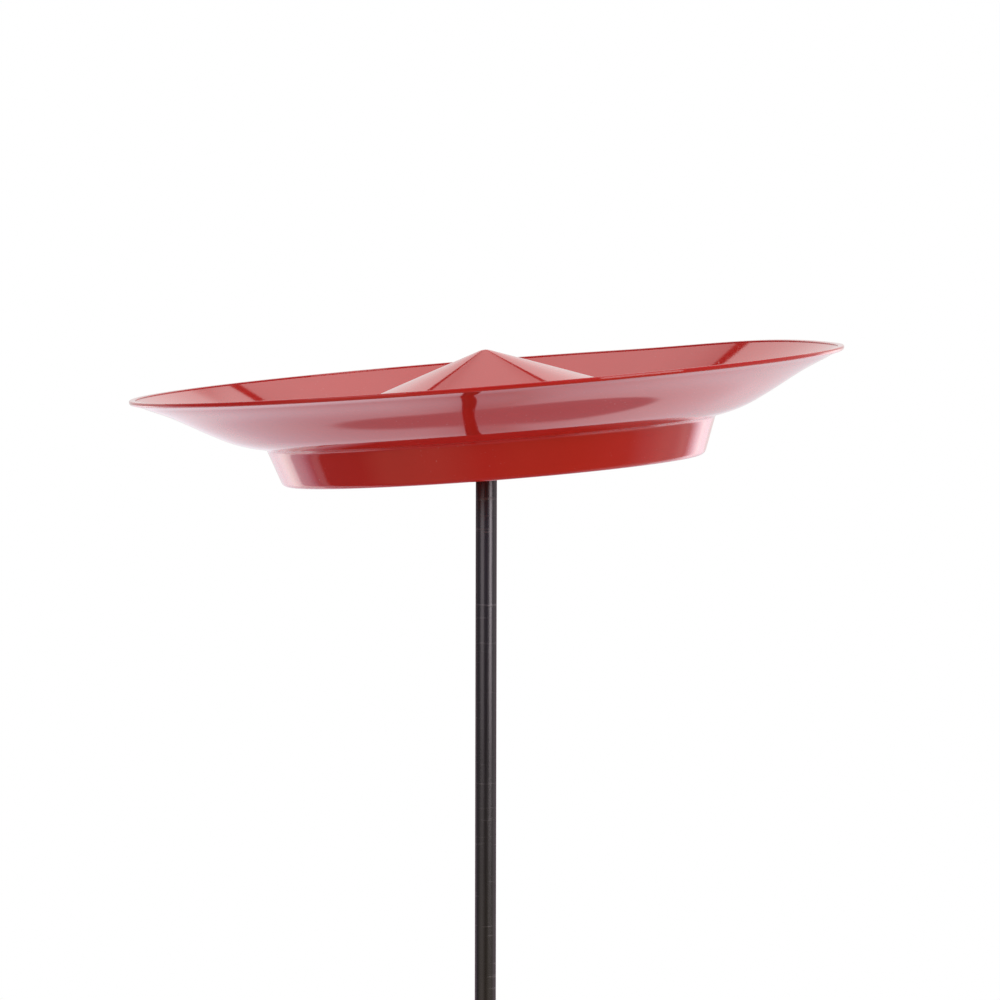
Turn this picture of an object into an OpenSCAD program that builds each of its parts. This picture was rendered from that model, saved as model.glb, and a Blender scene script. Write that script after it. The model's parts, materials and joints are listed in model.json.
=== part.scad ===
// Bird feeder on a pole: a moulded seed dish that rocks on a ball at the top of a sectional steel rod.
// Millimetres, +Z up. The origin is on the pole's axis at ground level.

/* [Dish] */
// Diameter over the rim
dish_d = 270; // [250:1:300]
// Wall thickness of the moulding
wall = 1.8; // [1.5:0.1:2.2]
// Slope of the flared side
flare_angle = 26.5; // [25:0.5:28]
// Slope of the narrow lip outside the flare
lip_angle = 16; // [12:1:20]
// Width of the lip
lip_w = 3.5; // [2:0.5:5]
// Width of the upright rim
rim_w = 2.4; // [2:0.1:2.6]
// Height of the rim above the inside of the flare
upstand = 0.6; // [0.4:0.05:0.7]
// Width of the sloping side, from the rim in to the foot ring
flare_w = 50; // [48:1:52]
// Radius of the bend between the flare and the floor, on the inside
bend_r = 49; // [46:1:52]
// Slope of the centre cone
cone_angle = 19; // [18.6:0.1:19.4]
// Radius of the cone's blunt nose
nose_r = 6; // [5:0.5:7]
// Lean of the dish's axis from the pole at rest
rest_lean = 4.6; // [0:0.1:4.6]

/* [Foot ring] */
// Depth of the foot's bottom edge below the rim
foot_depth = 37; // [34:1:42]
// Lean of the foot's wall from vertical
foot_lean = 20; // [15:1:24]
// Radius of the foot's bottom corner
foot_corner_r = 2.5; // [2.4:0.1:3]

/* [Hub] */
// Depth of the ball's centre below the rim
pivot_depth = 1; // [0.5:0.1:1.5]
// Radius of the ball
ball_r = 5; // [4.8:0.1:5.2]
// Outer radius of the socket's barrel
barrel_r = 9; // [8.5:0.1:9.5]
// Length of the socket's sleeve below the ball's centre
sleeve_len = 18; // [16:0.5:19]

/* [Pole] */
// Diameter of the rod
rod_d = 8; // [7.6:0.1:8.2]
// Length of a full section of rod
section_len = 400; // [300:10:500]
// Length of the pole that stands in the ground
buried_len = 200; // [150:10:250]
// Length of the ground point
point_len = 30; // [20:1:40]
// Diameter of the spigot and of the studs
spigot_d = 5; // [4.6:0.1:5.2]
// Length of the spigot above its shoulder
spigot_len = 18; // [12:1:18]

/* [Hidden] */
$fn = 96;

mould_red = [0.64, 0.07, 0.07];
dark_steel = [0.24, 0.22, 0.22];
zinc_grey = [0.60, 0.61, 0.63];
nylon_white = [0.90, 0.89, 0.85];
acetal_black = [0.10, 0.10, 0.11];

running_gap = 0.05;
press_gap = 0.02;
stop_gap = 0.3;
overlap = 0.5;
max_rock = 4.6;

// Heights along the pole
rod_r = rod_d / 2;
spigot_r = spigot_d / 2;
edge = 0.5;
lower_joint_z = section_len - buried_len;
upper_joint_z = lower_joint_z + section_len;
pivot_z = upper_joint_z + section_len;
shank_len = 28;
washer_t = 1;
shoulder_z = pivot_z - shank_len - washer_t;
spigot_edge = 0.6;
point_r = 0.6;

// Studs between the sections
stud_depth = 12;
stud_end_gap = 0.5;

// Ball tip
neck_r = 3;
neck_end = 6.5;
bore_end_gap = 1;

// Hub
seat_r = ball_r + running_gap;
seat_hold = 0.3;
seat_mouth_r = ball_r - seat_hold;
seat_mouth_z = -sqrt(seat_r * seat_r - seat_mouth_r * seat_mouth_r);
sleeve_mouth_r = rod_r / cos(max_rock) + sleeve_len * tan(max_rock) + stop_gap;
flange_t = 2;
boss_wall = 2.5;
boss_bottom = -pivot_depth - sleeve_len + flange_t;
roof_gap = 0.4;
rib_t = 1.2;
rib_reach = 26;
rib_count = 6;
rib_rise = 3;

// Points of an arc in the half section, from one angle to another
function arc(centre, r, from, to, steps) = [
    for (i = [0:steps])
        let (a = from + (to - from) * i / steps)
        [centre[0] + r * cos(a), centre[1] + r * sin(a)]
];

// A point moved square to a sloping line, upwards and inwards
function offset_point(p, angle, distance) = [p[0] - distance * sin(angle), p[1] + distance * cos(angle)];

// Half section of the dish: radius across, height up, rim top at height 0
rim_r = dish_d / 2;
edge_r = wall / 2;
rim_centre = [rim_r - edge_r, -edge_r];
lip_drop = lip_w * tan(lip_angle);
lip_end = [rim_centre[0] - lip_w, rim_centre[1] - lip_drop];
// The bend runs tangent to the flare and ends at the foot's outer line
foot_top_r = rim_r - flare_w;
foot_slope = 7;
mid_r = bend_r + wall / 2;
bend_centre_r = foot_top_r - (bend_r + wall) * sin(foot_slope);
bend_start_r = bend_centre_r + mid_r * sin(flare_angle);
bend_start_z = lip_end[1] - (lip_end[0] - bend_start_r) * tan(flare_angle);
bend_centre = [bend_centre_r, bend_start_z + mid_r * cos(flare_angle)];
foot_top = [foot_top_r, bend_centre[1] - (bend_r + wall) * cos(foot_slope)];

// The floor ends in a small round trough, tangent to the bend and to the centre cone
floor_slope = 9.3;
floor_end = [
    bend_centre[0] + bend_r * sin(floor_slope),
    bend_centre[1] - bend_r * cos(floor_slope)
];
trough_r = 5;
trough_centre = [
    floor_end[0] - trough_r * sin(floor_slope),
    floor_end[1] + trough_r * cos(floor_slope)
];
cone_foot = [
    trough_centre[0] - trough_r * sin(cone_angle),
    trough_centre[1] - trough_r * cos(cone_angle)
];
nose_centre = [0, cone_foot[1] + cone_foot[0] * tan(cone_angle) - nose_r / cos(cone_angle)];

// Inside, a wider bend thins the flare a little, so that it ends at the foot of the upright rim
flare_in = offset_point(lip_end, flare_angle, edge_r);
rim_foot = [rim_r - rim_w, -upstand];
flare_drop = flare_in[1] + (rim_foot[0] - flare_in[0]) * tan(flare_angle) - rim_foot[1];
drop_per_mm = 1 / cos(flare_angle) - cos(floor_slope) - sin(floor_slope) * tan(flare_angle);
bend_in_r = bend_r + flare_drop / drop_per_mm;
bend_in_centre = [
    floor_end[0] - bend_in_r * sin(floor_slope),
    floor_end[1] + bend_in_r * cos(floor_slope)
];
rim_inner_r = 0.3;
rim_outer_r = 0.5;

// The foot's outer line, its bottom corner and its turned-in edge
function foot_line(z) = foot_top[0] - (foot_top[1] - z) * tan(foot_lean);
corner_centre = [
    foot_line(foot_corner_r - foot_depth) - foot_corner_r / cos(foot_lean),
    foot_corner_r - foot_depth
];
turn_in = 1;
edge_centre = [corner_centre[0] - turn_in, edge_r - foot_depth];

// Small round crease where the foot's wall leaves the underside
crease_r = 2;
crease_half = (90 - foot_slope - foot_lean) / 2;
crease_centre = [
    foot_top[0] + crease_r * cos(foot_lean + crease_half) / cos(crease_half),
    foot_top[1] - crease_r * sin(foot_lean + crease_half) / cos(crease_half)
];
crease_turn = 2 * asin(crease_r * tan(crease_half) / (bend_r + wall));

// Where the foot's inner line meets the cone's underside
under_z = nose_centre[1] + (nose_r - wall) / cos(cone_angle);
foot_inner_0 = foot_line(0) - wall / cos(foot_lean);
inner_corner_z = (under_z - foot_inner_0 * tan(cone_angle)) / (1 + tan(foot_lean) * tan(cone_angle));
inner_corner = [foot_inner_0 + inner_corner_z * tan(foot_lean), inner_corner_z];

dish_outline = concat(
    arc(nose_centre, nose_r, 90, 90 - cone_angle, 6),
    arc(trough_centre, trough_r, 270 - cone_angle, 270 + floor_slope, 10),
    arc(bend_in_centre, bend_in_r, 270 + floor_slope, 270 + flare_angle, 12),
    [rim_foot],
    arc([rim_foot[0] + rim_inner_r, -rim_inner_r], rim_inner_r, 180, 90, 4),
    arc([rim_r - rim_outer_r, -rim_outer_r], rim_outer_r, 90, 0, 4),
    arc(rim_centre, edge_r, 0, lip_angle - 90, 8),
    [offset_point(lip_end, flare_angle, -edge_r)],
    arc(bend_centre, bend_r + wall, 270 + flare_angle, 270 + foot_slope + crease_turn, 12),
    arc(crease_centre, crease_r, 90 + foot_slope, 180 - foot_lean, 6),
    arc(corner_centre, foot_corner_r, -foot_lean, -90, 8),
    arc(edge_centre, edge_r, -90, -270, 8),
    arc(corner_centre, foot_corner_r - wall, -90, -foot_lean, 4),
    [inner_corner],
    arc(nose_centre, nose_r - wall, 90 - cone_angle, 90, 6)
);

// Places a piece of the dish: its own axis leans from the pole about the ball's centre
module on_ball() {
    translate([0, 0, pivot_z])
        rotate([0, -rest_lean, 0])
            children();
}

module rod(from, to) {
    translate([0, 0, from])
        cylinder(r1 = rod_r - edge, r2 = rod_r, h = edge);
    translate([0, 0, from + edge])
        cylinder(r = rod_r, h = to - from - 2 * edge);
    translate([0, 0, to - edge])
        cylinder(r1 = rod_r, r2 = rod_r - edge, h = edge);
}

// Blind hole for half of a stud; it opens at height z and runs up or down from there
module stud_hole(z, up) {
    depth = stud_depth + stud_end_gap;
    translate([0, 0, up ? z - overlap : z - depth])
        cylinder(r = spigot_r + press_gap, h = depth + overlap);
}

module stud(z) {
    color(zinc_grey)
        translate([0, 0, z - stud_depth])
            cylinder(r = spigot_r, h = 2 * stud_depth);
}

module pole_lower() {
    color(dark_steel)
        difference() {
            union() {
                translate([0, 0, -buried_len])
                    cylinder(r1 = point_r, r2 = rod_r, h = point_len);
                translate([0, 0, point_len - buried_len])
                    cylinder(r = rod_r, h = section_len - point_len - edge);
                translate([0, 0, lower_joint_z - edge])
                    cylinder(r1 = rod_r, r2 = rod_r - edge, h = edge);
            }
            stud_hole(lower_joint_z, false);
        }
}

module pole_middle() {
    color(dark_steel)
        difference() {
            rod(lower_joint_z, upper_joint_z);
            stud_hole(lower_joint_z, true);
            stud_hole(upper_joint_z, false);
        }
}

module pole_upper() {
    color(dark_steel)
        difference() {
            union() {
                rod(upper_joint_z, shoulder_z);
                translate([0, 0, shoulder_z - overlap])
                    cylinder(r = spigot_r, h = spigot_len + overlap - spigot_edge);
                translate([0, 0, shoulder_z + spigot_len - spigot_edge])
                    cylinder(r1 = spigot_r, r2 = spigot_r - spigot_edge, h = spigot_edge);
            }
            stud_hole(upper_joint_z, true);
        }
}

module joint_stud_lower() {
    stud(lower_joint_z);
}

module joint_stud_upper() {
    stud(upper_joint_z);
}

// Loose ring on the pole's shoulder, under the ball tip
module thrust_washer() {
    color(zinc_grey)
        translate([0, 0, shoulder_z])
            difference() {
                cylinder(r = rod_r, h = washer_t);
                translate([0, 0, -overlap])
                    cylinder(r = spigot_r + running_gap, h = washer_t + 2 * overlap);
            }
}

// Ball on a neck and a shank, with a blind bore that drops over the spigot
module ball_tip() {
    bore_len = spigot_len - washer_t + bore_end_gap;
    color(nylon_white)
        translate([0, 0, pivot_z])
            difference() {
                union() {
                    sphere(r = ball_r);
                    translate([0, 0, -neck_end - rod_r + neck_r])
                        cylinder(r = neck_r, h = neck_end + rod_r - neck_r);
                    translate([0, 0, -neck_end - rod_r + neck_r])
                        cylinder(r1 = rod_r, r2 = neck_r, h = rod_r - neck_r);
                    translate([0, 0, -shank_len])
                        cylinder(r = rod_r, h = shank_len - neck_end - rod_r + neck_r);
                }
                translate([0, 0, -shank_len - overlap])
                    cylinder(r = spigot_r + running_gap, h = bore_len + overlap);
            }
}

// Barrel pressed up into the dish's boss: a ball seat over a flared sleeve that stops the rock
module hub_socket() {
    roof_z = under_z + pivot_depth - roof_gap;
    barrel_top = roof_z - barrel_r * tan(cone_angle);
    flange_top = flange_t - sleeve_len;
    sleeve_run = sleeve_len + seat_mouth_z + overlap;
    color(acetal_black)
        on_ball()
            difference() {
                rotate_extrude()
                    polygon([
                        [0, -sleeve_len],
                        [barrel_r + boss_wall, -sleeve_len],
                        [barrel_r + boss_wall, flange_top],
                        [barrel_r - press_gap, flange_top],
                        [barrel_r - press_gap, barrel_top],
                        [neck_r, barrel_top + (barrel_r - neck_r) * tan(cone_angle)],
                        [0, barrel_top + (barrel_r - neck_r) * tan(cone_angle)]
                    ]);
                sphere(r = seat_r);
                translate([0, 0, -sleeve_len])
                    cylinder(r1 = sleeve_mouth_r, r2 = seat_mouth_r, h = sleeve_run);
                translate([0, 0, -sleeve_len - overlap])
                    cylinder(r = sleeve_mouth_r, h = overlap);
            }
}

// One moulding: rim, flare, floor, centre cone, foot ring, and the ribbed boss under the cone
module dish() {
    boss_r = barrel_r + boss_wall;
    boss_top = under_z - boss_r * tan(cone_angle) + overlap;
    rib_top = under_z - rib_reach * tan(cone_angle) + overlap;
    rib_run = rib_reach - boss_r + overlap;
    color(mould_red)
        on_ball()
            translate([0, 0, pivot_depth]) {
                rotate_extrude()
                    polygon(dish_outline);
                translate([0, 0, boss_bottom])
                    difference() {
                        cylinder(r = boss_r, h = boss_top - boss_bottom);
                        translate([0, 0, -overlap])
                            cylinder(r = barrel_r, h = boss_top - boss_bottom + 2 * overlap);
                    }
                for (i = [0:rib_count - 1])
                    rotate([90, 0, (i + 0.5) * 360 / rib_count])
                        translate([0, 0, -rib_t / 2])
                            linear_extrude(rib_t)
                                polygon([
                                    [boss_r - overlap, boss_bottom + rib_rise],
                                    [rib_reach, rib_top - overlap],
                                    [rib_reach, rib_top],
                                    [boss_r - overlap, rib_top + rib_run * tan(cone_angle)]
                                ]);
            }
}

pole_lower();
pole_middle();
pole_upper();
joint_stud_lower();
joint_stud_upper();
thrust_washer();
ball_tip();
hub_socket();
dish();
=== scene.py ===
import json
import math
import bmesh
import bpy
from mathutils import Matrix, Vector


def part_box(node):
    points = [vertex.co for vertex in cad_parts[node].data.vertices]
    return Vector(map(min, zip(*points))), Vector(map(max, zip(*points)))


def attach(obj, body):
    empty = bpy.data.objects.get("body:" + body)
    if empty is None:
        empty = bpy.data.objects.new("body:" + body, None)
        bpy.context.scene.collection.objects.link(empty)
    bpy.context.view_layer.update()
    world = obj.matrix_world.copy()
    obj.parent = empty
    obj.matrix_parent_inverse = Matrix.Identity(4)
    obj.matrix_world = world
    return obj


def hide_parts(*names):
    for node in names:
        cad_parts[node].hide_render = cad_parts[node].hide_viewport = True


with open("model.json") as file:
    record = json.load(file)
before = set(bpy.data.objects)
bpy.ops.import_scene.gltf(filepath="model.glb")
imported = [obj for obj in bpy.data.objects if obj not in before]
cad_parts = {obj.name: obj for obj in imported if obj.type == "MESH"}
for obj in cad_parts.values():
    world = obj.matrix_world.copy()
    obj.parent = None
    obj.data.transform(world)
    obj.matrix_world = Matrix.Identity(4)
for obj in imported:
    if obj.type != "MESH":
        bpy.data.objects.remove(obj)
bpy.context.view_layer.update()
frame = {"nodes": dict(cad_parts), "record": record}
scene = bpy.context.scene
scene.view_settings.view_transform = "Standard"

MM = 0.001

# Places from the frame: the ball's centre, the pole's radius, and the dish's lean at rest
JOINTS = {joint["name"]: joint for joint in frame["record"]["behaviour"]["joints"]}
PIVOT = Vector(JOINTS["rock"]["pos_m"])
LEAN = math.radians(JOINTS["rock"]["range_deg"][1] / 2)
ROD_R = frame["record"]["mounts"][0]["dims"]["r_mm"]
GROUND_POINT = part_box("pole_lower")[0][2]
LOWER_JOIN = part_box("pole_lower")[1][2] / MM
UPPER_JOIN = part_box("pole_middle")[1][2] / MM
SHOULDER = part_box("thrust_washer")[0][2] / MM
SPIGOT_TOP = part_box("pole_upper")[1][2] / MM

# Places a point of the dish, whose own axis passes through the ball and leans towards -X
DISH_PLACE = Matrix.Translation(PIVOT) @ Matrix.Rotation(-LEAN, 4, "Y")


def sin(angle):
    return math.sin(math.radians(angle))


def cos(angle):
    return math.cos(math.radians(angle))


def tan(angle):
    return math.tan(math.radians(angle))


# ---------------------------------------------------------------- mesh helpers

def arc(centre, radius, start, end, steps):
    """Points of an arc in a half section, in degrees from the radius direction."""
    points = []
    for i in range(steps + 1):
        angle = start + (end - start) * i / steps
        points.append((centre[0] + radius * cos(angle), centre[1] + radius * sin(angle)))
    return points


def straight(start, end, steps):
    """Points along a line, without its two ends."""
    points = []
    for i in range(1, steps):
        t = i / steps
        points.append((start[0] + (end[0] - start[0]) * t, start[1] + (end[1] - start[1]) * t))
    return points


def ring_of(mesh, radius, height, sides):
    """One ring of a turned mesh, or its single point on the axis."""
    if radius < 1e-6:
        return [mesh.verts.new((0, 0, height * MM))]
    ring = []
    for k in range(sides):
        turn = 360 * k / sides
        ring.append(mesh.verts.new((radius * MM * cos(turn), radius * MM * sin(turn), height * MM)))
    return ring


def turn_outline(mesh, outline, sides, closed=False):
    """Adds a turned skin to a mesh, from (radius, height) points in millimetres."""
    rings = [ring_of(mesh, radius, height, sides) for radius, height in outline]
    pairs = list(zip(rings, rings[1:]))
    if closed:
        pairs.append((rings[-1], rings[0]))
    for low, high in pairs:
        for k in range(sides):
            nxt = (k + 1) % sides
            if len(low) == 1:
                mesh.faces.new((low[0], high[nxt], high[k]))
            elif len(high) == 1:
                mesh.faces.new((low[k], low[nxt], high[0]))
            else:
                mesh.faces.new((low[k], low[nxt], high[nxt], high[k]))


def finish_mesh(mesh, name, sharp_angle=35):
    """Turns a bmesh into an object that shades smooth, with creases at its sharp edges."""
    bmesh.ops.recalc_face_normals(mesh, faces=mesh.faces)
    for face in mesh.faces:
        face.smooth = True
    for edge in mesh.edges:
        if edge.calc_face_angle(0) > math.radians(sharp_angle):
            edge.smooth = False
    data = bpy.data.meshes.new(name)
    mesh.to_mesh(data)
    mesh.free()
    piece = bpy.data.objects.new(name, data)
    scene.collection.objects.link(piece)
    return piece


# ---------------------------------------------------------------- dish

# Sizes of the moulding, the same as in the CAD, in millimetres and degrees
WALL = 1.8
RIM_R = 135.0
EDGE_R = WALL / 2
FLARE = 26.5
LIP = 16.0
LIP_W = 3.5
FLARE_W = 50.0
RIM_W = 2.4
UPSTAND = 0.6
RIM_INNER_R = 0.3
RIM_OUTER_R = 0.5
BEND_R = 49.0
CONE = 19.0
NOSE_R = 6.0
FOOT_DEPTH = 37.0
FOOT_LEAN = 20.0
CORNER_R = 2.5
PIVOT_DEPTH = 1.0
FLOOR_SLOPE = 9.3
FOOT_SLOPE = 7.0
TROUGH_R = 5.0
TURN_IN = 1.0
CREASE_R = 2.0
# The moulding's faults: the rim's top falls inwards, the flare's underside draws up, and the rim warps
RIM_FALL = 3.0
SINK = 0.55
SINK_SKEW = 1.3
WARP = 1.1
WARP_AT = 37.0
WARP_HALF_WIDTH = 30.0
WARP_FROM = 60.0

# The boss under the cone and its ribs
BARREL_R = 9.0
BOSS_R = 11.5
BOSS_BOTTOM = -17.0
RIB_T = 1.2
RIB_REACH = 26.0
RIB_RISE = 3.0
RIB_COUNT = 6
RIB_DRAFT = 0.2
# How far the boss and the ribs run into the cone, and the round of the boss's mouth
ROOT = 0.5

DISH_SIDES = 360
BOSS_SIDES = 96


# Points of the moulding's half section: radius across, height up, rim top at height 0
UNDER_R = BEND_R + WALL
RIM_CENTRE = (RIM_R - EDGE_R, -EDGE_R)
RIM_FOOT = (RIM_R - RIM_W, -UPSTAND)
LIP_END = (RIM_CENTRE[0] - LIP_W, RIM_CENTRE[1] - LIP_W * tan(LIP))
FOOT_TOP_R = RIM_R - FLARE_W
BEND_X = FOOT_TOP_R - UNDER_R * sin(FOOT_SLOPE)
BEND_START_X = BEND_X + (BEND_R + EDGE_R) * sin(FLARE)
BEND_START_Z = LIP_END[1] - (LIP_END[0] - BEND_START_X) * tan(FLARE)
BEND = (BEND_X, BEND_START_Z + (BEND_R + EDGE_R) * cos(FLARE))
FOOT_TOP = (FOOT_TOP_R, BEND[1] - UNDER_R * cos(FOOT_SLOPE))
FLOOR_END = (BEND[0] + BEND_R * sin(FLOOR_SLOPE), BEND[1] - BEND_R * cos(FLOOR_SLOPE))
TROUGH = (FLOOR_END[0] - TROUGH_R * sin(FLOOR_SLOPE), FLOOR_END[1] + TROUGH_R * cos(FLOOR_SLOPE))
CONE_FOOT = (TROUGH[0] - TROUGH_R * sin(CONE), TROUGH[1] - TROUGH_R * cos(CONE))
NOSE = (0.0, CONE_FOOT[1] + CONE_FOOT[0] * tan(CONE) - NOSE_R / cos(CONE))
# Height at which the cone's underside would meet the axis
UNDER_Z = NOSE[1] + (NOSE_R - WALL) / cos(CONE)


def beside(point, distance):
    """A point moved square to the flare's line, upwards and inwards."""
    return (point[0] - distance * sin(FLARE), point[1] + distance * cos(FLARE))


def foot_line(height):
    """Radius of the foot ring's outer wall at a height."""
    return FOOT_TOP[0] - (FOOT_TOP[1] - height) * tan(FOOT_LEAN)


def sunk(points):
    """Draws the middle of the flare's underside up, and leaves both of its ends in place."""
    steps = len(points) + 1
    drawn = []
    for i, (radius, height) in enumerate(points):
        inward = 1 - (i + 1) / steps
        drawn.append((radius, height + SINK * sin(180 * inward ** SINK_SKEW) ** 2))
    return drawn


def inside_outline():
    """The top of the moulding, from the nose out to the foot of the upright rim."""
    # A wider bend than the underside's thins the flare a little, so that it ends at the rim's foot
    flare_in = beside(LIP_END, EDGE_R)
    drop = flare_in[1] + (RIM_FOOT[0] - flare_in[0]) * tan(FLARE) - RIM_FOOT[1]
    drop_per_mm = 1 / cos(FLARE) - cos(FLOOR_SLOPE) - sin(FLOOR_SLOPE) * tan(FLARE)
    radius = BEND_R + drop / drop_per_mm
    centre = (FLOOR_END[0] - radius * sin(FLOOR_SLOPE), FLOOR_END[1] + radius * cos(FLOOR_SLOPE))
    nose = arc(NOSE, NOSE_R, 90, 90 - CONE, 10)
    trough = arc(TROUGH, TROUGH_R, 270 - CONE, 270 + FLOOR_SLOPE, 12)
    bend = arc(centre, radius, 270 + FLOOR_SLOPE, 270 + FLARE, 18)[1:]
    cone = straight(nose[-1], trough[0], 40)
    flare = straight(bend[-1], RIM_FOOT, 16)
    return nose + cone + trough + bend + flare + [RIM_FOOT]


def rim_outline():
    """The upright rim, from its foot over its flat top and down to the lip's underside."""
    top_width = RIM_W - RIM_INNER_R - RIM_OUTER_R
    inner = (RIM_FOOT[0] + RIM_INNER_R, -RIM_INNER_R - top_width * tan(RIM_FALL))
    outer = (RIM_R - RIM_OUTER_R, -RIM_OUTER_R)
    return (
        arc(inner, RIM_INNER_R, 180, 90 + RIM_FALL, 6)
        + arc(outer, RIM_OUTER_R, 90 + RIM_FALL, 0, 6)
        + arc(RIM_CENTRE, EDGE_R, 0, LIP - 90, 14)
    )


def underside_outline():
    """The underside, from the lip in to the small round crease at the foot ring."""
    half = (90 - FOOT_SLOPE - FOOT_LEAN) / 2
    crease = (
        FOOT_TOP[0] + CREASE_R * cos(FOOT_LEAN + half) / cos(half),
        FOOT_TOP[1] - CREASE_R * sin(FOOT_LEAN + half) / cos(half),
    )
    crease_turn = 2 * math.degrees(math.asin(CREASE_R * tan(half) / UNDER_R))
    lip_under = beside(LIP_END, -EDGE_R)
    bend = arc(BEND, UNDER_R, 270 + FLARE, 270 + FOOT_SLOPE + crease_turn, 18)
    flare = sunk(straight(lip_under, bend[0], 32))
    return [lip_under] + flare + bend + arc(crease, CREASE_R, 90 + FOOT_SLOPE, 180 - FOOT_LEAN, 8)


def foot_outline(start):
    """The foot ring round its turned-in edge, and the cone's underside up to the axis."""
    corner_z = CORNER_R - FOOT_DEPTH
    corner = (foot_line(corner_z) - CORNER_R / cos(FOOT_LEAN), corner_z)
    edge = (corner[0] - TURN_IN, EDGE_R - FOOT_DEPTH)
    inner_0 = foot_line(0) - WALL / cos(FOOT_LEAN)
    inner_z = (UNDER_Z - inner_0 * tan(CONE)) / (1 + tan(FOOT_LEAN) * tan(CONE))
    inner = (inner_0 + inner_z * tan(FOOT_LEAN), inner_z)
    corner_outer = arc(corner, CORNER_R, -FOOT_LEAN, -90, 12)
    edge_arc = arc(edge, EDGE_R, -90, -270, 14)
    corner_inner = arc(corner, CORNER_R - WALL, -90, -FOOT_LEAN, 6)
    nose_under = arc(NOSE, NOSE_R - WALL, 90 - CONE, 90, 8)
    return (
        straight(start, corner_outer[0], 8) + corner_outer + edge_arc
        + corner_inner + straight(corner_inner[-1], inner, 6) + [inner]
        + straight(inner, nose_under[0], 40) + nose_under
    )


def dish_outline():
    """Half section of the moulding."""
    underside = underside_outline()
    return inside_outline() + rim_outline() + underside + foot_outline(underside[-1])


def add_boss(mesh):
    """The tube under the cone that the hub is pressed into, rounded at its mouth."""
    outer_top = UNDER_Z - BOSS_R * tan(CONE) + ROOT
    inner_top = UNDER_Z - BARREL_R * tan(CONE) + ROOT
    mouth = ((BOSS_R + BARREL_R) / 2, BOSS_BOTTOM + ROOT)
    half_wall = (BOSS_R - BARREL_R) / 2
    outline = (
        [(BARREL_R, inner_top), (BARREL_R, BOSS_BOTTOM + ROOT)]
        + [(mouth[0] - half_wall + ROOT * (1 - cos(a)), mouth[1] - ROOT * sin(a)) for a in (30, 60, 90)]
        + [(mouth[0] + half_wall - ROOT * (1 - sin(a)), mouth[1] - ROOT * cos(a)) for a in (0, 30, 60)]
        + [(BOSS_R, BOSS_BOTTOM + ROOT), (BOSS_R, outer_top)]
    )
    turn_outline(mesh, outline, BOSS_SIDES, closed=True)


def add_rib(mesh, turn):
    """One web from the boss out to the cone's underside, thinner along its lower edge."""
    top = UNDER_Z - RIB_REACH * tan(CONE) + ROOT
    start = BOSS_R - ROOT
    run = RIB_REACH - start
    side = [
        (start, BOSS_BOTTOM + RIB_RISE, RIB_T / 2 - RIB_DRAFT),
        (RIB_REACH, top - ROOT, RIB_T / 2 - RIB_DRAFT),
        (RIB_REACH, top, RIB_T / 2),
        (start, top + run * tan(CONE), RIB_T / 2),
    ]
    place = Matrix.Rotation(math.radians(turn), 4, "Z")
    near = [mesh.verts.new(place @ Vector((x * MM, -half * MM, z * MM))) for x, z, half in side]
    far = [mesh.verts.new(place @ Vector((x * MM, half * MM, z * MM))) for x, z, half in side]
    mesh.faces.new(near)
    mesh.faces.new(far[::-1])
    for k in range(len(side)):
        nxt = (k + 1) % len(side)
        mesh.faces.new((near[k], near[nxt], far[nxt], far[k]))


def warp(mesh):
    """Lifts the rim smoothly on one side, as a thin moulding does."""
    for point in mesh.verts:
        radius = point.co.xy.length / MM
        if radius > WARP_FROM:
            turn = abs(math.degrees(math.atan2(point.co.y, point.co.x)) - WARP_AT)
            reach = (radius - WARP_FROM) / (RIM_R - WARP_FROM)
            if turn < WARP_HALF_WIDTH:
                point.co.z += WARP * MM * reach * reach * cos(90 * turn / WARP_HALF_WIDTH) ** 2


def make_dish():
    mesh = bmesh.new()
    turn_outline(mesh, dish_outline(), DISH_SIDES)
    add_boss(mesh)
    for i in range(RIB_COUNT):
        add_rib(mesh, (i + 0.5) * 360 / RIB_COUNT)
    warp(mesh)
    lift = Matrix.Translation((0, 0, PIVOT_DEPTH * MM))
    mesh.transform(DISH_PLACE @ lift)
    shell = finish_mesh(mesh, "dish_shell")
    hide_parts("dish")
    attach(shell, "dish")
    return shell


# ---------------------------------------------------------------- pole

EDGE = 0.5
STUD_R = 2.52
STUD_HOLE = 12.5
SPIGOT_R = 2.5
SPIGOT_EDGE = 0.6
POINT_LEN = 30.0
POINT_R = 0.6
ROD_SIDES = 96


def hole(join, depth):
    """Half section of a stud's hole, from its blind end out to its mouth."""
    step = math.copysign(EDGE, depth)
    return [(0, join + depth), (STUD_R, join + depth), (STUD_R, join + step), (STUD_R + EDGE / 2, join)]


def rod_end(join, up):
    """The broken corner of a rod's end, from the end face out to the side."""
    start, end = (90, 0) if up else (-90, 0)
    centre_z = join - EDGE if up else join + EDGE
    return arc((ROD_R - EDGE, centre_z), EDGE, start, end, 4)


def spigot():
    """Half section of the turned spigot, from the shoulder to the top's centre."""
    return [
        (SPIGOT_R, SHOULDER),
        (SPIGOT_R, SPIGOT_TOP - SPIGOT_EDGE),
        (SPIGOT_R - SPIGOT_EDGE, SPIGOT_TOP),
        (0, SPIGOT_TOP),
    ]


def make_section(name, node, outline):
    mesh = bmesh.new()
    turn_outline(mesh, outline, ROD_SIDES)
    section = finish_mesh(mesh, name)
    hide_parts(node)
    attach(section, "pole")
    return section


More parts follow.
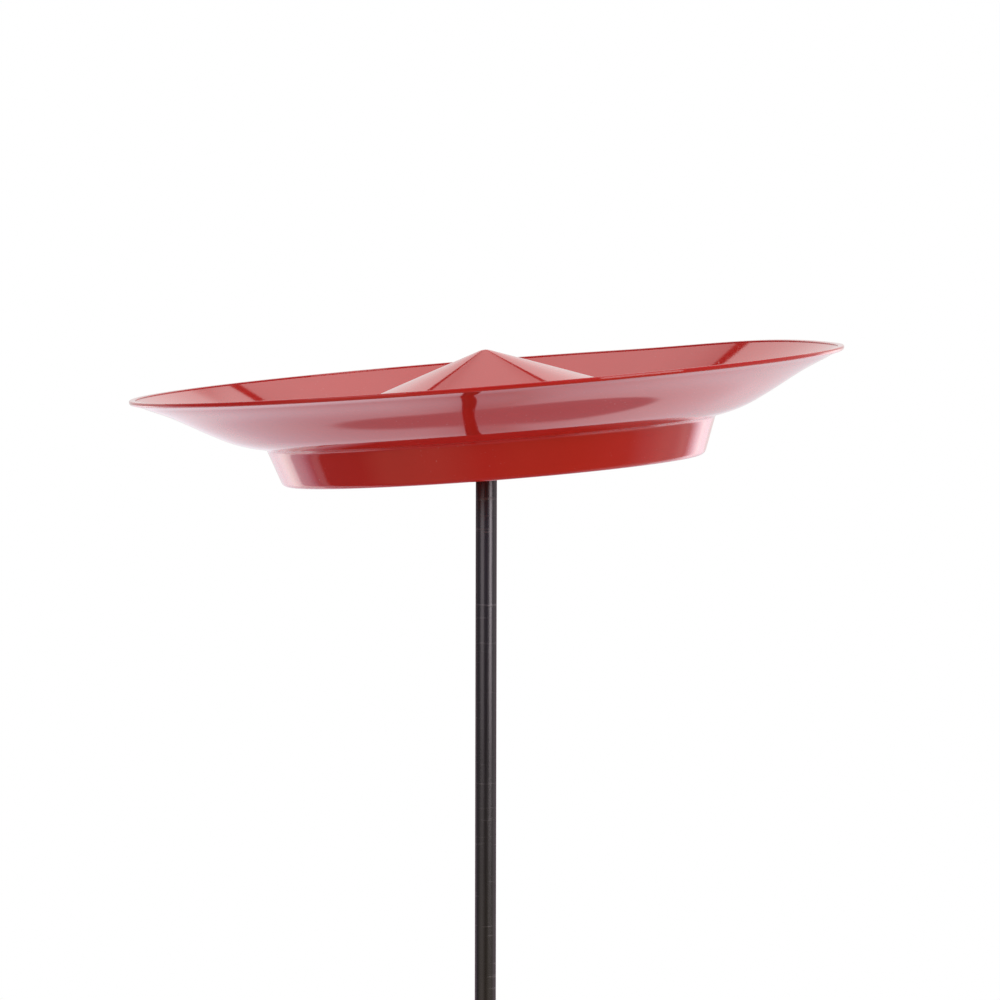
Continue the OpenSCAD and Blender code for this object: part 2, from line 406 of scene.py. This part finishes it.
def make_pole():
    tip_z = GROUND_POINT / MM
    lower = [
        (0, tip_z), (POINT_R, tip_z), (ROD_R, tip_z + POINT_LEN),
        *rod_end(LOWER_JOIN, True)[::-1], *hole(LOWER_JOIN, -STUD_HOLE)[::-1],
    ]
    middle = [
        *hole(LOWER_JOIN, STUD_HOLE), *rod_end(LOWER_JOIN, False),
        *rod_end(UPPER_JOIN, True)[::-1], *hole(UPPER_JOIN, -STUD_HOLE)[::-1],
    ]
    upper = [
        *hole(UPPER_JOIN, STUD_HOLE), *rod_end(UPPER_JOIN, False),
        *rod_end(SHOULDER, True)[::-1], *spigot(),
    ]
    return [
        make_section("rod_lower", "pole_lower", lower),
        make_section("rod_middle", "pole_middle", middle),
        make_section("rod_upper", "pole_upper", upper),
    ]


# ---------------------------------------------------------------- node helpers

def plug_in(tree, socket, value):
    """Links a socket, or sets its value."""
    if isinstance(value, bpy.types.NodeSocket):
        tree.links.new(value, socket)
    else:
        socket.default_value = value


def calc(tree, operation, *values):
    node = tree.nodes.new("ShaderNodeMath")
    node.operation = operation
    for socket, value in zip(node.inputs, values):
        plug_in(tree, socket, value)
    return node.outputs[0]


def smooth_step(tree, value, low, high):
    """Rises smoothly from 0 at low to 1 at high."""
    node = tree.nodes.new("ShaderNodeMapRange")
    node.interpolation_type = "SMOOTHSTEP"
    plug_in(tree, node.inputs["Value"], value)
    node.inputs["From Min"].default_value = low
    node.inputs["From Max"].default_value = high
    return node.outputs["Result"]


def mix_color(tree, factor, first, second):
    node = tree.nodes.new("ShaderNodeMix")
    node.data_type = "RGBA"
    plug_in(tree, node.inputs["Factor"], factor)
    plug_in(tree, node.inputs["A"], first)
    plug_in(tree, node.inputs["B"], second)
    return node.outputs["Result"]


def mix_value(tree, factor, first, second):
    node = tree.nodes.new("ShaderNodeMix")
    plug_in(tree, node.inputs["Factor"], factor)
    plug_in(tree, node.inputs["A"], first)
    plug_in(tree, node.inputs["B"], second)
    return node.outputs["Result"]


def object_point(tree, stretch=(1, 1, 1)):
    """The surface point in the piece's own frame, stretched along each axis."""
    place = tree.nodes.new("ShaderNodeTexCoord")
    mapping = tree.nodes.new("ShaderNodeMapping")
    mapping.inputs["Scale"].default_value = stretch
    tree.links.new(place.outputs["Object"], mapping.inputs["Vector"])
    return mapping.outputs["Vector"]


def noise(tree, point, scale, detail=2.0):
    node = tree.nodes.new("ShaderNodeTexNoise")
    node.inputs["Scale"].default_value = scale
    node.inputs["Detail"].default_value = detail
    tree.links.new(point, node.inputs["Vector"])
    return node.outputs["Fac"]


def bump(tree, height, distance, below=None):
    node = tree.nodes.new("ShaderNodeBump")
    node.inputs["Strength"].default_value = 1.0
    node.inputs["Distance"].default_value = distance
    tree.links.new(height, node.inputs["Height"])
    if below:
        tree.links.new(below, node.inputs["Normal"])
    return node.outputs["Normal"]


# ---------------------------------------------------------------- materials

def new_material(name, ior=1.5, metallic=0.0):
    material = bpy.data.materials.new(name)
    material.use_nodes = True
    shader = material.node_tree.nodes["Principled BSDF"]
    shader.inputs["IOR"].default_value = ior
    shader.inputs["Metallic"].default_value = metallic
    return material, material.node_tree, shader


def gloss_red():
    """Red moulded plastic: a deep gloss with slight moulding waves, fine scuffs and a little dust."""
    material, tree, shader = new_material("gloss_red_plastic")
    point = object_point(tree)
    waves = noise(tree, point, 22, 1)
    peel = noise(tree, point, 420, 1)
    scuff_noise = noise(tree, object_point(tree, (14, 1.2, 3)), 90, 4)
    scuffs = smooth_step(tree, scuff_noise, 0.66, 0.74)
    cloud = noise(tree, point, 35, 3)
    specks = smooth_step(tree, noise(tree, point, 1400, 0), 0.78, 0.84)
    dust = calc(tree, "MULTIPLY", specks, smooth_step(tree, cloud, 0.42, 0.62))
    red = mix_color(tree, cloud, (0.50, 0.015, 0.010, 1), (0.58, 0.018, 0.013, 1))
    plug_in(tree, shader.inputs["Base Color"], mix_color(tree, dust, red, (0.58, 0.10, 0.09, 1)))
    worn = calc(tree, "MULTIPLY_ADD", scuffs, 0.10, 0.045)
    plug_in(tree, shader.inputs["Roughness"], calc(tree, "MULTIPLY_ADD", dust, 0.2, worn))
    waved = bump(tree, waves, 0.00004)
    plug_in(tree, shader.inputs["Normal"], bump(tree, peel, 0.0000008, waved))
    return material


def dark_steel():
    """Drawn steel rod under a thin dark finish, with lines along it and fine marks across it."""
    material, tree, shader = new_material("dark_drawn_steel", metallic=1.0)
    lines = noise(tree, object_point(tree, (1, 1, 0.012)), 2600, 3)
    marks_noise = noise(tree, object_point(tree, (0.12, 0.12, 1)), 420, 3)
    marks = smooth_step(tree, marks_noise, 0.60, 0.70)
    cloud = noise(tree, object_point(tree), 60, 3)
    shader.inputs["Specular Tint"].default_value = (0.30, 0.27, 0.28, 1)
    base = mix_color(tree, cloud, (0.11, 0.098, 0.103, 1), (0.14, 0.126, 0.131, 1))
    plug_in(tree, shader.inputs["Base Color"], mix_color(tree, marks, base, (0.19, 0.17, 0.175, 1)))
    rough = calc(tree, "MULTIPLY_ADD", lines, 0.12, 0.22)
    plug_in(tree, shader.inputs["Roughness"], calc(tree, "MULTIPLY_ADD", marks, 0.12, rough))
    lined = bump(tree, lines, 0.00002)
    plug_in(tree, shader.inputs["Normal"], bump(tree, marks, 0.00001, lined))
    return material


def zinc_plate():
    """Bright zinc plate on turned steel, with turning lines and a faint blue cast."""
    material, tree, shader = new_material("zinc_plate", metallic=1.0)
    lines = noise(tree, object_point(tree, (0.2, 0.2, 4)), 1500, 2)
    cloud = noise(tree, object_point(tree), 400, 3)
    plug_in(tree, shader.inputs["Base Color"],
            mix_color(tree, cloud, (0.48, 0.50, 0.55, 1), (0.66, 0.66, 0.66, 1)))
    plug_in(tree, shader.inputs["Roughness"], calc(tree, "MULTIPLY_ADD", lines, 0.25, 0.2))
    plug_in(tree, shader.inputs["Normal"], bump(tree, lines, 0.00001))
    return material


def moulded(name, low, high, roughness):
    """A satin engineering plastic with a fine spark-eroded grain."""
    material, tree, shader = new_material(name)
    point = object_point(tree)
    grain = noise(tree, point, 2500, 2)
    cloud = noise(tree, point, 250, 3)
    plug_in(tree, shader.inputs["Base Color"], mix_color(tree, cloud, low, high))
    plug_in(tree, shader.inputs["Roughness"], calc(tree, "MULTIPLY_ADD", grain, 0.2, roughness))
    plug_in(tree, shader.inputs["Normal"], bump(tree, grain, 0.00002))
    return material


def give(piece, material):
    piece.data.materials.clear()
    piece.data.materials.append(material)


# ---------------------------------------------------------------- stage

# Light by azimuth from straight behind the object towards +X, in degrees. The foot ring mirrors a white
# sweep from -67 to 39 with crisp ends, and a dim warm room on the camera's side.
SWEEP = [
    (-180, (0.24, 0.20, 0.13)),
    (-150, (0.50, 0.46, 0.34)),
    (-115, (0.50, 0.46, 0.34)),
    (-98, (0.20, 0.18, 0.16)),
    (-70, (0.16, 0.16, 0.16)),
    (-68, (0.78, 0.74, 0.82)),
    (-64, (0.85, 0.80, 0.90)),
    (-62, (0.60, 0.55, 0.68)),
    (-58, (1.05, 0.98, 1.25)),
    (-54, (1.50, 1.42, 1.70)),
    (-45, (1.70, 1.62, 1.85)),
    (-43, (3.0, 2.95, 3.1)),
    (-36, (3.2, 3.2, 3.2)),
    (-31, (2.75, 2.75, 2.9)),
    (-24, (1.95, 1.90, 2.05)),
    (-13, (1.30, 1.27, 1.38)),
    (-5, (1.15, 1.13, 1.22)),
    (6, (0.98, 0.96, 1.02)),
    (12, (1.25, 1.22, 1.30)),
    (25, (2.3, 2.2, 2.4)),
    (32, (3.1, 3.05, 3.2)),
    (38, (2.7, 2.6, 2.9)),
    (44, (1.7, 1.55, 1.75)),
    (48, (0.86, 0.80, 0.84)),
    (53, (1.02, 0.94, 0.94)),
    (60, (0.80, 0.74, 0.75)),
    (70, (0.86, 0.80, 0.76)),
    (85, (0.60, 0.56, 0.55)),
    (95, (0.34, 0.30, 0.22)),
    (125, (0.27, 0.24, 0.12)),
    (160, (0.30, 0.26, 0.14)),
    (180, (0.24, 0.20, 0.13)),
]
# The flare looks lower down, where the sweep is dimmer and the pole dulls its middle
LOW_SWEEP = [
    (-45, (2.2, 2.2, 2.3)),
    (-22, (1.55, 1.55, 1.65)),
    (-11, (1.20, 1.17, 1.32)),
    (-3, (1.26, 1.24, 1.38)),
    (1, (1.06, 1.04, 1.16)),
    (3, (0.78, 0.75, 0.86)),
    (7, (0.84, 0.81, 0.88)),
    (10, (1.16, 1.13, 1.26)),
    (14, (1.34, 1.30, 1.42)),
    (25, (1.65, 1.60, 1.72)),
    (45, (1.9, 1.9, 2.0)),
]
# The pole looks along the horizon
HORIZON = [
    (-180, 0.03), (-168, 0.03), (-156, 0.22), (-100, 0.14), (-68, 0.14), (-50, 0.85), (-42, 2.6),
    (-30, 2.6), (-18, 1.2), (0, 0.85), (16, 1.2), (27, 2.6), (40, 2.6), (48, 0.85), (58, 0.75),
    (80, 0.60), (100, 0.35), (156, 0.25), (168, 0.03), (180, 0.03),
]
BRIGHTEST = 3.2
# Brightness by elevation in degrees, behind the object and on the other sides
ABOVE_BACK = [(0, 0.85), (30, 0.70), (35, 0.74), (38, 0.98), (44, 1.25), (52, 1.5), (70, 1.2), (90, 1.1)]
ABOVE_ROOM = [
    (0, (0.32, 0.28, 0.42)),
    (40, (0.32, 0.28, 0.42)),
    (60, (1.1, 1.1, 1.1)),
    (90, (1.1, 1.1, 1.1)),
]
# Under the dish the floor lies in its shadow, and the shadow's edge falls away to each side of its middle
SHADOW = (0.58, 0.54, 0.62, 1)
DEEP_SHADOW = (0.30, 0.28, 0.28, 1)
SHADOW_AT = 2
SHADOW_WIDTH = 20
SHADOW_CURVE = 0.033


def ramp(tree, value, stops):
    """A colour looked up from (position, colour) stops; the ramp holds them as parts of BRIGHTEST."""
    low = stops[0][0]
    high = stops[-1][0]
    scaled = calc(tree, "DIVIDE", calc(tree, "SUBTRACT", value, low), high - low)
    node = tree.nodes.new("ShaderNodeValToRGB")
    tree.links.new(scaled, node.inputs["Fac"])
    elements = node.color_ramp.elements
    while len(elements) < len(stops):
        elements.new(0.5)
    for element, (position, color) in zip(elements, stops):
        element.position = (position - low) / (high - low)
        element.color = (*[part / BRIGHTEST for part in color], 1)
    scale = tree.nodes.new("ShaderNodeVectorMath")
    scale.operation = "SCALE"
    tree.links.new(node.outputs["Color"], scale.inputs[0])
    scale.inputs["Scale"].default_value = BRIGHTEST
    return scale.outputs[0]


def greys(stops):
    return [(position, (level, level, level)) for position, level in stops]


def light_below(tree, azimuth, elevation, turned):
    """The sweep and the room below the horizon, and the dish's shadow on the floor."""
    behind = smooth_step(tree, turned, 45, 38)
    low_part = calc(tree, "MULTIPLY", smooth_step(tree, elevation, -20, -30), behind)
    sweep = mix_color(tree, low_part, ramp(tree, azimuth, SWEEP), ramp(tree, azimuth, LOW_SWEEP))
    beside_shadow = calc(tree, "ABSOLUTE", calc(tree, "SUBTRACT", azimuth, SHADOW_AT))
    near = calc(tree, "MINIMUM", beside_shadow, SHADOW_WIDTH)
    fall = calc(tree, "MULTIPLY", calc(tree, "MULTIPLY", near, near), SHADOW_CURVE)
    over_shadow = calc(tree, "SUBTRACT", elevation, fall)
    in_shadow = calc(tree, "MULTIPLY", smooth_step(tree, over_shadow, -51.5, -53.5), behind)
    shaded = mix_color(tree, in_shadow, sweep, SHADOW)
    return mix_color(tree, smooth_step(tree, elevation, -58, -66), shaded, DEEP_SHADOW)


def light_level(tree, azimuth, elevation, turned):
    """The horizon, and what is above it."""
    above_back = ramp(tree, elevation, greys(ABOVE_BACK))
    above_room = ramp(tree, elevation, ABOVE_ROOM)
    above = mix_color(tree, smooth_step(tree, turned, 55, 80), above_back, above_room)
    level = ramp(tree, azimuth, greys(HORIZON))
    return mix_color(tree, smooth_step(tree, elevation, 3, 12), level, above)


def make_world():
    """A white sweep behind the object, a graded ceiling and a dim room on the camera's side."""
    world = bpy.data.worlds.new("studio")
    scene.world = world
    world.use_nodes = True
    tree = world.node_tree
    place = tree.nodes.new("ShaderNodeTexCoord")
    split = tree.nodes.new("ShaderNodeSeparateXYZ")
    tree.links.new(place.outputs["Generated"], split.inputs[0])
    azimuth = calc(tree, "DEGREES", calc(tree, "ARCTAN2", split.outputs["X"], split.outputs["Y"]))
    elevation = calc(tree, "DEGREES", calc(tree, "ARCSINE", split.outputs["Z"]))
    turned = calc(tree, "ABSOLUTE", azimuth)
    below = light_below(tree, azimuth, elevation, turned)
    level = light_level(tree, azimuth, elevation, turned)
    light = mix_color(tree, smooth_step(tree, elevation, -9, -5), below, level)
    rays = tree.nodes.new("ShaderNodeLightPath")
    seen = mix_color(tree, rays.outputs["Is Camera Ray"], light, (1, 1, 1, 1))
    tree.links.new(seen, tree.nodes["Background"].inputs["Color"])


# A patch of painted shade at the board's top middle, which dims its light: where it is, in metres across
# and above the ball, and how much light it leaves
PATCH_AT = -0.01
PATCH_HALF = (0.02, 0.065)
PATCH_RISE = (0.41, 0.49)
PATCH_LEVEL = 0.45


def glow(name, low, high, height):
    """A board that gives its own light, which rises to a height and has a patch of painted shade at its
    top.
    """
    material, tree, shader = new_material(name)
    shader.inputs["Base Color"].default_value = (0.02, 0.02, 0.02, 1)
    shader.inputs["Specular IOR Level"].default_value = 0.0
    shader.inputs["Roughness"].default_value = 1.0
    shader.inputs["Emission Color"].default_value = (1, 1, 1, 1)
    split = tree.nodes.new("ShaderNodeSeparateXYZ")
    tree.links.new(object_point(tree), split.inputs[0])
    rise = smooth_step(tree, split.outputs["Z"], PIVOT.z, PIVOT.z + height)
    off_middle = calc(tree, "ABSOLUTE", calc(tree, "SUBTRACT", split.outputs["X"], PATCH_AT))
    across = smooth_step(tree, off_middle, PATCH_HALF[1], PATCH_HALF[0])
    high_up = smooth_step(tree, split.outputs["Z"], PIVOT.z + PATCH_RISE[0], PIVOT.z + PATCH_RISE[1])
    # painted shade: the board's light is dimmed in a patch at its top middle
    patch_shade = mix_value(tree, calc(tree, "MULTIPLY", across, high_up), 1.0, PATCH_LEVEL)
    level = calc(tree, "MULTIPLY", mix_value(tree, rise, low, high), patch_shade)
    plug_in(tree, shader.inputs["Emission Strength"], level)
    return material


def panel(name, across, depth, slant, low, high, material):
    """A slanted panel behind the object, which shows only in reflections and as light."""
    data = bpy.data.meshes.new(name)
    half = across / 2
    corners = []
    for side, height in ((-half, low), (half, low), (half, high), (-half, high)):
        corners.append((side, depth, height + side * slant))
    data.from_pydata(corners, [], [(0, 1, 2, 3)])
    board = bpy.data.objects.new(name, data)
    scene.collection.objects.link(board)
    board.visible_camera = False
    give(board, material)


def make_backdrop():
    """A white board behind the object, with a dark top edge."""
    depth = 0.9
    foot = PIVOT.z - 0.05
    top = PIVOT.z + 0.575
    edge = 0.034
    across = 3.0
    slant = 0.12
    white = glow("backdrop_white", 0.85, 1.25, 0.35)
    panel("backdrop", across, depth, slant, foot, top, white)
    panel("backdrop_top_edge", across, depth, slant, top, top + edge, glow("backdrop_edge", 0.02, 0.02, 1))


def make_floor():
    """A pale disc under the ground point, which fades into the white background."""
    radius = 6.0
    fade_from = 1.2
    fade_to = 3.5
    mesh = bmesh.new()
    bmesh.ops.create_circle(mesh, cap_ends=True, segments=128, radius=radius)
    data = bpy.data.meshes.new("floor")
    mesh.to_mesh(data)
    mesh.free()
    floor = bpy.data.objects.new("floor", data)
    floor.location.z = GROUND_POINT
    scene.collection.objects.link(floor)
    floor.visible_glossy = False
    material, tree, shader = new_material("pale_floor")
    away = tree.nodes.new("ShaderNodeVectorMath")
    away.operation = "LENGTH"
    tree.links.new(object_point(tree), away.inputs[0])
    far = smooth_step(tree, away.outputs["Value"], fade_from, fade_to)
    grain = noise(tree, object_point(tree), 30, 2)
    pale = mix_color(tree, grain, (0.57, 0.57, 0.57, 1), (0.61, 0.61, 0.61, 1))
    plug_in(tree, shader.inputs["Base Color"], mix_color(tree, far, pale, (0, 0, 0, 1)))
    shader.inputs["Specular IOR Level"].default_value = 0.0
    shader.inputs["Roughness"].default_value = 1.0
    shader.inputs["Emission Color"].default_value = (1, 1, 1, 1)
    plug_in(tree, shader.inputs["Emission Strength"], far)
    give(floor, material)


def softbox(name, azimuth, width, radiance):
    """A tall soft light that faces the dish, a little above its level."""
    distance = 1.8
    height = 1.4
    foot = PIVOT.z - 0.05
    data = bpy.data.lights.new(name, "AREA")
    data.shape = "RECTANGLE"
    data.size = width
    data.size_y = height
    data.energy = radiance * math.pi * width * height
    light = bpy.data.objects.new(name, data)
    light.location = (distance * sin(azimuth), distance * cos(azimuth), foot + height / 2)
    light.rotation_euler = (math.radians(90), 0, math.radians(180 - azimuth))
    scene.collection.objects.link(light)


def make_camera():
    distance = 3.0
    across = 0.3764
    side = 4.8 * MM
    height = 114.2 * MM
    pitch = 3.08
    roll = -0.126
    data = bpy.data.cameras.new("camera")
    data.sensor_width = 36
    data.lens = data.sensor_width * distance / across
    data.clip_start = 0.1
    data.clip_end = 100
    camera = bpy.data.objects.new("camera", data)
    camera.location = (side, -distance, PIVOT.z + height)
    camera.rotation_euler = (math.radians(90 - pitch), math.radians(roll), 0)
    scene.collection.objects.link(camera)
    scene.camera = camera


# ---------------------------------------------------------------- the scene

give(make_dish(), gloss_red())
steel = dark_steel()
for section in make_pole():
    give(section, steel)
zinc = zinc_plate()
for node in ("thrust_washer", "joint_stud_lower", "joint_stud_upper"):
    give(frame["nodes"][node], zinc)
nylon = moulded("white_nylon", (0.74, 0.72, 0.66, 1), (0.82, 0.81, 0.77, 1), 0.32)
give(frame["nodes"]["ball_tip"], nylon)
acetal = moulded("black_acetal", (0.010, 0.010, 0.012, 1), (0.022, 0.022, 0.024, 1), 0.28)
give(frame["nodes"]["hub_socket"], acetal)
make_world()
make_backdrop()
make_floor()
softbox("key", 131, 0.9, 3.1)
softbox("fill", -137, 1.2, 1.0)
make_camera()
